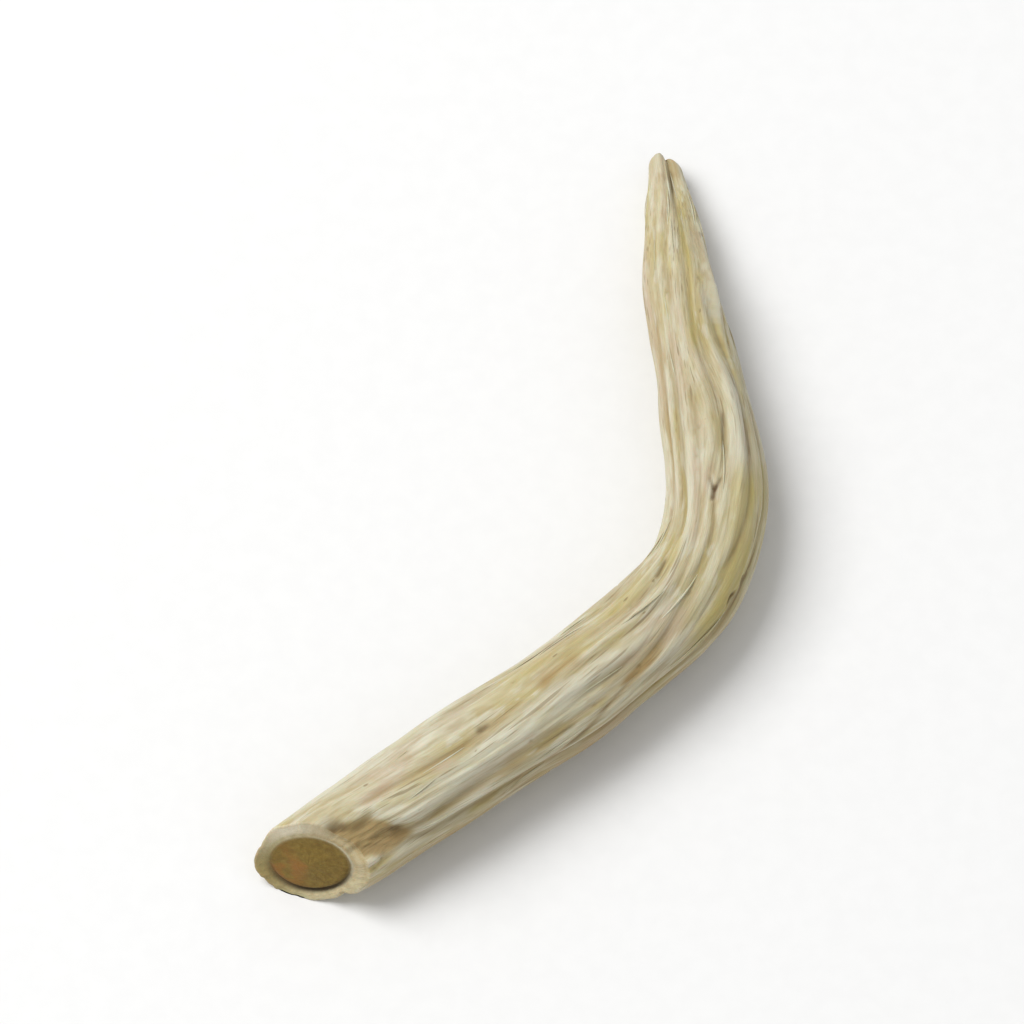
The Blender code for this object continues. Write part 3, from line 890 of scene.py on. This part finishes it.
@dataclass
class PeeledRoot:
    """The root in one piece: its skin, its knife cut and its snapped tip, joined in one run of rings.

    Fields:
        rags, tip_rag: streaks that make the rim and the tip uneven, each with its share of the height.
        tip_nub, tip_notch: height, angle and width of the tip's highest and lowest places.
        core_share, crescent_share: where they lie, as shares of the face's radius.
        groove_line, crescent_line: how far outside the core's edge each is coloured, and its width. The
            groove's dark colour is a painted shadow.
        crescent_band: strength, shift and width of the paler band beyond the crescent.
        painted_light_edge, torn_edge, pore_edge: share of the radius where each starts, and how far it
            takes. The first places a painted light: a paler colour on the upper left of the cut's outer
            ring, where the face lies in shade.
        edge_blend: how much the first rings of the skin take the cut's colour.
    """

    skin: RootSkin
    material: bpy.types.Material
    points_round: int = 240
    edge_rings: int = 8
    edge_reach: float = 0.4 * MM
    skin_rings: int = 362
    face_rings: int = 24
    tip_rings: int = 9
    edge_round: float = 0.10 * MM
    rag_height: float = 0.06 * MM
    rag_reach: float = 1.2 * MM
    rags: tuple[tuple[float, Streaks], ...] = ((0.6, Streaks(1, 70, 51)), (1.0, Streaks(1, 23, 52)))
    cut_lean: float = 2.1 * MM
    cut_lean_angle: float = np.radians(-52)
    cut_lean_reach: float = 9.0 * MM
    tip_rounding: float = 1.1 * MM
    tip_lean: float = 0.80 * MM
    tip_lean_angle: float = np.radians(52)
    tip_lean_reach: float = 6.0 * MM
    tip_rag_height: float = 0.45
    tip_rag: Streaks = Streaks(1, 21, 55)
    tip_nub: Triple = (0.55, np.radians(34), np.radians(30))
    tip_notch: Triple = (-0.8, np.radians(-16), np.radians(17))
    core_share: float = 0.73
    core_drop: float = 0.20 * MM
    core_drop_angle: float = np.radians(185)
    core_edge: float = 0.05
    groove_width: float = 0.055
    groove_depth: float = 0.34 * MM
    groove_line: Pair = (0.01, 0.05)
    groove_side: Side = Side(203, 0.30)
    crescent_share: float = 0.86
    crescent_width: float = 0.09
    crescent_height: float = 0.12 * MM
    crescent_line: Pair = (0.035, 0.030)
    crescent_band: Triple = (0.45, 0.04, 0.045)
    crescent_side: Side = Side(-52, -0.30)
    # side of the cut's ring that is darker olive: partly its own tone, partly painted shade
    olive_and_shade_side: Side = Side(126, -0.35)
    broken_side: Side = Side(-32, -0.60)
    # side and edge of the painted light on the cut's outer ring
    painted_light_side: Side = Side(52, -0.20)
    painted_light_edge: Pair = (0.06, 0.08)
    face_dish: float = 0.22 * MM
    core_dome: float = 0.20 * MM
    torn_height: float = 0.025 * MM
    torn_edge: Pair = (0.68, 0.1)
    torn: Streaks = Streaks(22, 64, 53)
    pore_height: float = 0.015 * MM
    pore_edge: Pair = (0.62, 0.1)
    pores: Streaks = Streaks(16, 26, 54)
    edge_blend: float = 0.5
    recess_tone_and_shade_depth: float = 0.075 * MM
    recess_tone_and_shade_reach: int = 6

    def angles(self) -> Array:
        """Angles of a ring's points, which run so that faces point outwards."""
        return -np.linspace(0, TURN, self.points_round, endpoint=False)

    def leaning(self, distance: Array, angle: Array) -> Array:
        """Distances shifted near both ends: the cut and the tip lean, and the cut's rim is ragged."""
        length = self.skin.length
        near_cut = np.clip(1 - distance / self.cut_lean_reach, 0, 1)
        near_tip = np.clip(1 - (length - distance) / self.tip_lean_reach, 0, 1)
        near_rim = np.clip(1 - distance / self.rag_reach, 0, 1)
        rag = sum(height * streaks.heights(0.0, angle) for height, streaks in self.rags)
        cut = self.cut_lean * np.cos(angle - self.cut_lean_angle) * near_cut ** 2
        tip = self.tip_lean * np.cos(angle - self.tip_lean_angle) * near_tip ** 2
        return distance + cut + tip + self.rag_height * rag * near_rim ** 2

    def skin_grid(self) -> tuple[Array, Array, Array]:
        """Distances, angles and relief of the skin's rings, closer together at the cut's rounded edge."""
        end = self.skin.length - self.tip_rounding
        edge = np.linspace(0, self.edge_reach, self.edge_rings, endpoint=False)
        plain = np.concatenate((edge, np.linspace(self.edge_reach, end, self.skin_rings)))[:, None]
        angle = np.broadcast_to(self.angles(), (len(plain), self.points_round))
        distance = self.leaning(plain, angle)
        inside = 1 - np.clip(plain / self.edge_round, 0, 1)
        worn = self.edge_round * (1 - np.sqrt(1 - inside ** 2))
        return distance, angle, self.skin.relief(distance, angle) - worn

    def ring_bell(self, share: Array, at: float, width: float) -> Array:
        """A bell of the share of the radius, 1 at one share."""
        return np.exp(-((share - at) / width) ** 2)

    def face_grid(self, rim: Array) -> tuple[Array, Array, Array]:
        """Rings of the cut face from the rim inwards.

        Spokes run from the middle to the rim. Towards the core the outline turns into the nearest
        ellipse, the first wave of the spokes, and its middle shifts towards the lower rim. Each ring is
        sunk along the face's normal: a shallow dish, a groove below the core, a raised crescent beside
        it, a low dome on the core, torn fibres outside it and pores in it.

        Args:
            rim: the skin's first ring.

        Returns:
            The rings' points, the share of the radius of each ring, and the middle.
        """
        angle = self.angles()[None, :]
        middle = rim.mean(axis=0)
        spokes = rim - middle
        inwards = np.cross(spokes, np.roll(spokes, -1, axis=0)).sum(axis=0)
        inwards /= np.linalg.norm(inwards)
        share = np.linspace(1, 0, self.face_rings + 2)[1:, None]
        sunk = self.face_dish * (1 - share ** 4)
        groove = self.ring_bell(share, self.core_share, self.groove_width)
        sunk = sunk + self.groove_depth * groove * self.groove_side.cover(angle)
        crescent = self.ring_bell(share, self.crescent_share, self.crescent_width)
        sunk = sunk - self.crescent_height * crescent * self.crescent_side.cover(angle)
        sunk = sunk - self.core_dome * smooth_step(1 - share / self.core_share)
        start, reach = self.torn_edge
        torn = self.torn.heights(share * 0.2, angle) * smooth_step((share - start) / reach)
        end, reach = self.pore_edge
        pores = self.pores.heights(share, angle) * smooth_step((end - share) / reach)
        pores = pores * smooth_step(share * 4)
        sunk = sunk + self.torn_height * torn * smooth_step((1 - share) / 0.08) + self.pore_height * pores
        waves = np.fft.fft(spokes, axis=0)
        waves[2:-1] = 0
        ellipse = np.fft.ifft(waves, axis=0).real
        uneven = smooth_step((share - self.core_share) / (1 - self.core_share))[..., None]
        outline = uneven * spokes + (1 - uneven) * ellipse
        lower = spokes[np.abs(turn_between(angle[0], self.core_drop_angle)).argmin()]
        drop = lower / np.linalg.norm(lower) * self.core_drop
        shift = drop * smooth_step((1 - share) / (1 - self.core_share))[..., None]
        rings = middle + shift + outline * share[..., None] + inwards * sunk[..., None]
        return rings[:-1], share[:-1], rings[-1, :1]

    def tip_grid(self, last: Array, previous: Array) -> tuple[Array, Array]:
        """Shrinking rings past the last ring of the skin, and the point that closes them.

        The rings lie on a quarter ellipse, middle + (last - middle) cos(t) + ahead sin(t), with its height
        ragged between the last ring and the point, where the fibres broke, raised on one side to a nub
        and lowered beside it to a notch.
        """
        middle = last.mean(axis=0)
        ahead = middle - previous.mean(axis=0)
        ahead *= self.tip_rounding / np.linalg.norm(ahead)
        turn = np.linspace(0, np.pi / 2, self.tip_rings + 2)[1:, None, None]
        angle = self.angles()[None, :, None]
        rag = self.tip_rag_height * self.tip_rag.heights(0.0, angle)
        for height, toward, width in (self.tip_nub, self.tip_notch):
            rag = rag + height * np.exp(-(turn_between(angle, toward) / width) ** 2)
        rings = middle + (last - middle) * np.cos(turn) + ahead * np.sin(turn) * (1 + rag * np.cos(turn))
        return rings[:-1], rings[-1, :1]

    def hollows_and_crests(self, relief: Array) -> tuple[Array, Array]:
        """How far each point lies below and above the mean relief of its neighbours round the root. The
        finish lays tan in the first, partly as painted shade, and pale on the second, partly as a painted
        highlight.
        """
        reach = range(-self.recess_tone_and_shade_reach, self.recess_tone_and_shade_reach + 1)
        mean = sum(np.roll(relief, step, axis=1) for step in reach) / len(reach)
        below = np.clip((mean - relief) / self.recess_tone_and_shade_depth, 0, 1)
        above = np.clip((relief - mean) / self.recess_tone_and_shade_depth, 0, 1)
        return below, above

    def straight(self, distance: Array, angle: Array, share: Array) -> Array:
        """Place of each point in mm on the root as if it were straight, which the finish's grain follows."""
        radius = self.skin.radius(distance) * share
        grain = self.skin.grain_angle(distance, angle)
        return np.stack((distance, radius * np.sin(grain), radius * np.cos(grain)), axis=-1) / MM

    def put_covers(self, piece: Piece, distance: Array, relief: Array, share: Array) -> None:
        """Puts the numbers that the finish reads into attributes of the piece.

        Args:
            piece: the root, whose rings run from the middle of the face to the tip.
            distance: distances of the skin's rings.
            relief: relief of the skin's rings.
            share: share of the radius of each ring of the face, from the rim inwards.
        """
        before = np.repeat(distance[:1], self.face_rings, axis=0)
        after = np.repeat(distance[-1:], self.tip_rings, axis=0)
        whole = np.concatenate((before, distance, after))
        angle = np.broadcast_to(self.angles(), whole.shape)
        shares = np.ones(whole.shape)
        shares[:self.face_rings] = share[::-1]
        past_core = shares - self.core_share
        cut = np.zeros(whole.shape)
        cut[:self.face_rings] = 1.0
        cut[self.face_rings:self.face_rings + 2] = self.edge_blend
        crescent = self.ring_bell(past_core, *self.crescent_line)
        strength, beyond, width = self.crescent_band
        crescent = crescent + strength * self.ring_bell(shares, self.crescent_share + beyond, width)
        start, reach = self.painted_light_edge
        covers = {
            "cut": cut,
            "core": smooth_step(0.5 - past_core / self.core_edge),
            # the groove's colour is a painted shadow on its lower side
            "groove": self.ring_bell(past_core, *self.groove_line) * self.groove_side.cover(angle),
            "crescent": crescent * self.crescent_side.cover(angle),
            # darker olive on the left of the ring, partly painted shade
            "olive_and_shade": self.olive_and_shade_side.cover(angle),
            # painted light on the upper left of the ring, beyond the core
            "painted_light": smooth_step((past_core - start) / reach) * self.painted_light_side.cover(angle),
            "broken": self.broken_side.cover(angle),
        }
        # tan in the furrows, partly painted shade, and pale on the ridges, partly painted highlight
        for name, values in zip(("recess_tone_and_shade", "pale_ridge_and_highlight"), self.hollows_and_crests(relief)):
            past = np.repeat(values[-1:], self.tip_rings, axis=0)
            covers[name] = np.concatenate((np.zeros(before.shape), values, past))
        for kind in Stain:
            covers[kind.value] = self.skin.stain(kind, whole, angle) * (1 - cut)
        for name, values in covers.items():
            ends = (values[0].mean(), values[-1].mean())
            put_values(piece, name, np.concatenate((values.ravel(), ends)))
        straight = self.straight(whole, angle, shares).reshape(-1, 3)
        ends = straight[[0, -1]] * (1, 0, 0)
        put_values(piece, "straight", np.concatenate((straight, ends)))

    def build(self) -> Piece:
        """Makes the piece, with the attributes that its finish reads."""
        distance, angle, relief = self.skin_grid()
        skin = self.skin.points(distance, angle, relief)
        face, share, face_middle = self.face_grid(skin[0])
        tip, tip_point = self.tip_grid(skin[-1], skin[-2])
        rings = np.concatenate((face[::-1], skin, tip))
        points = np.concatenate((rings.reshape(-1, 3), face_middle, tip_point))
        points[:, 2] = np.maximum(points[:, 2], 0)
        piece = new_piece("peeled_root_skin", points, closed_faces(len(rings), self.points_round))
        self.put_covers(piece, distance, relief, share)
        piece.data.materials.append(self.material)
        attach(piece, "root")
        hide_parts("shatavari_root")
        return piece


@dataclass
class LooseFibres:
    """Torn fibres that stand a little off the skin: slivers along the grain, sunk in it at one or both ends.

    Fields:
        groups: how many slivers, and the range of distances (mm) and of angles (degrees) where they start.
        reach: shortest and longest sliver.
        lift: least and greatest height over the skin.
        thickness: least and greatest half width.
        free_share: share of slivers with a free far end.
    """

    skin: RootSkin
    material: bpy.types.Material
    groups: tuple[tuple[int, float, float, float, float], ...] = (
        (24, 4.0, 44.0, -95.0, 60.0),
        (10, 43.0, 47.5, -70.0, 90.0),
    )
    seed: int = 29
    rings: int = 18
    sides: int = 6
    reach: Pair = (1.4 * MM, 4.6 * MM)
    lift: Pair = (0.015 * MM, 0.07 * MM)
    sunk: float = 0.03 * MM
    thickness: Pair = (0.025 * MM, 0.060 * MM)
    drift: float = np.radians(5)
    free_share: float = 0.35
    flatness: float = 0.7
    # pale colour on every sliver, partly its own tone and partly a painted highlight
    pale_ridge_and_highlight: float = 0.6
    end: float = 50.0 * MM

    def build(self) -> Piece:
        """Makes all the slivers as one piece.

        Along a sliver u runs from 0 to 1. One that is held at both ends rises as sin(pi u), and one with a
        free end as u^2. Its half width goes as the root of sin(pi u). Each ring is a flat ellipse, square
        to the sliver.
        """
        draw = np.random.default_rng(self.seed)
        group = np.repeat(np.arange(len(self.groups)), [count for count, *_ in self.groups])
        low, high, left, right = np.array([limits for _, *limits in self.groups])[group].T
        start = draw.uniform(low, high) * MM
        angle = np.radians(draw.uniform(left, right))
        count = len(start)
        share = np.linspace(0.02, 0.98, self.rings)[None, :]
        bow = np.sin(np.pi * share)
        free = (draw.uniform(0, 1, (count, 1)) < self.free_share)
        lift = draw.uniform(*self.lift, (count, 1))
        rise = np.where(free, share ** 2, bow)
        raised = lift * rise - self.sunk * (1 - rise)
        width = draw.uniform(*self.thickness, (count, 1)) * np.sqrt(bow)
        distance = np.minimum(start[:, None] + draw.uniform(*self.reach, (count, 1)) * share, self.end)
        turned = angle[:, None] + draw.uniform(-self.drift, self.drift, (count, 1)) * share
        relief = self.skin.relief(distance, turned) + raised
        centre = self.skin.points(distance, turned, relief)
        outward = self.skin.points(distance, turned, relief + 0.1 * MM) - centre
        outward /= np.linalg.norm(outward, axis=-1, keepdims=True)
        ahead = np.gradient(centre, axis=1)
        ahead /= np.linalg.norm(ahead, axis=-1, keepdims=True)
        side = np.cross(ahead, outward)
        spin = (TURN * np.arange(self.sides) / self.sides)[:, None]
        ring = self.flatness * np.cos(spin) * outward[:, :, None] + np.sin(spin) * side[:, :, None]
        rings = centre[:, :, None] + ring * width[..., None, None]
        ends = centre[:, [0, -1]] + ahead[:, [0, -1]] * np.array((-1, 1))[:, None] * self.sunk
        points = np.concatenate((rings.reshape(count, -1, 3), ends), axis=1)
        one = closed_faces(self.rings, self.sides)
        each = points.shape[1]
        faces = [[corner + number * each for corner in face] for number in range(count) for face in one]
        piece = new_piece("loose_fibres", points.reshape(-1, 3), faces)
        radius = self.skin.radius(distance)
        straight = np.stack((distance, radius * np.sin(turned), radius * np.cos(turned)), axis=-1) / MM
        straight = np.repeat(straight, self.sides, axis=1)
        straight = np.concatenate((straight, straight[:, [0, -1]]), axis=1)
        straight = straight + draw.uniform(0, 9, (count, 1, 3))
        put_values(piece, "straight", straight.reshape(-1, 3))
        put_values(piece, "pale_ridge_and_highlight", np.full(count * each, self.pale_ridge_and_highlight))
        piece.data.materials.append(self.material)
        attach(piece, "root")
        return piece


@dataclass(frozen=True)
class FloorPaper:
    """Plain pale paper under the root."""

    colour: Colour = (0.82, 0.82, 0.815)
    darker: float = 0.985
    tooth: float = 900.0
    roughness: float = 0.9

    def material(self) -> bpy.types.Material:
        """Makes the material, with a very faint tooth in its tone."""
        material, bench, shader = new_material("floor_paper")
        place = bench.node("ShaderNodeTexCoord").outputs["Object"]
        tooth = bench.noise(place, self.tooth, self.tooth)
        darker = tuple(self.darker * part for part in self.colour)
        tone = bench.blend(bench.ramp(tooth, 0.3, 0.7), self.colour, darker)
        bench.join(tone, shader.inputs["Base Color"])
        shader.inputs["Roughness"].default_value = self.roughness
        shader.inputs["Specular IOR Level"].default_value = 0.1
        return material


@dataclass
class Studio:
    """Floor, soft lights and camera, none of them part of the root."""

    floor_half: float = 3.0
    floor_drop: float = 0.01 * MM
    lamps: tuple[tuple[str, float, float, Triple], ...] = (
        ("key", 4.0, 0.45, (-0.35, 0.12, 0.54)),
        ("fill", 0.5, 0.7, (0.45, -0.50, 0.42)),
    )
    sky: float = 0.50
    lens: float = 900.0
    sensor: float = 36.0
    elevation: float = np.radians(60)
    frame_side: float = 51.0 * MM
    aim: Triple = (0.0, 0.0, 2.2 * MM)

    def floor(self) -> Piece:
        """A flat square of paper just under the root."""
        half, low = self.floor_half, -self.floor_drop
        points = np.array(((-half, -half, low), (half, -half, low), (half, half, low), (-half, half, low)))
        piece = new_piece("floor", points, [[0, 1, 2, 3]])
        piece.data.materials.append(FloorPaper().material())
        return piece

    def lamp(
        self, name: str, power: float, size: float, place: Triple,
    ) -> Piece:
        """A square soft light at the place given, turned to the root."""
        light = bpy.data.lights.new(name, "AREA")
        light.energy = power
        light.size = size
        piece = bpy.data.objects.new(name, light)
        piece.location = place
        piece.rotation_euler = (-Vector(place)).to_track_quat("-Z", "Y").to_euler()
        bpy.context.scene.collection.objects.link(piece)
        return piece

    def surroundings(self) -> None:
        """An even pale sky, and plain colours in the picture."""
        world = bpy.data.worlds.new("studio")
        bpy.context.scene.world = world
        world.use_nodes = True
        back = world.node_tree.nodes["Background"]
        back.inputs["Color"].default_value = (1.0, 1.0, 1.0, 1.0)
        back.inputs["Strength"].default_value = self.sky
        bpy.context.scene.view_settings.view_transform = "Standard"

    def camera(self) -> Piece:
        """A long lens at the photograph's angle, so far off that the frame takes in the whole root."""
        back = Vector((0.0, -np.cos(self.elevation), np.sin(self.elevation)))
        right = Vector((1.0, 0.0, 0.0))
        above = back.cross(right)
        data = bpy.data.cameras.new("camera")
        data.lens = self.lens
        data.sensor_width = self.sensor
        data.clip_start = 0.01
        data.clip_end = 20.0
        distance = self.frame_side * self.lens / self.sensor
        piece = bpy.data.objects.new("camera", data)
        turned = Matrix((right, above, back)).transposed().to_4x4()
        piece.matrix_world = Matrix.Translation(Vector(self.aim) + back * distance) @ turned
        bpy.context.scene.collection.objects.link(piece)
        bpy.context.scene.camera = piece
        return piece

    def build(self) -> None:
        """Makes the floor, the lights, the surroundings and the camera."""
        self.floor()
        for lamp in self.lamps:
            self.lamp(*lamp)
        self.surroundings()
        self.camera()


def main() -> None:
    """Builds the root and the studio in order, and reports each piece."""
    logging.basicConfig(level=logging.INFO, format="%(name)s: %(message)s")
    skin = RootSkin()
    flesh = PeeledFlesh().material()
    for piece in (PeeledRoot(skin, flesh).build(), LooseFibres(skin, flesh).build()):
        log.info("%s has %d points", piece.name, len(piece.data.vertices))
    Studio().build()
    log.info("floor, lights and camera are in place")


if __name__ == "__main__":
    main()
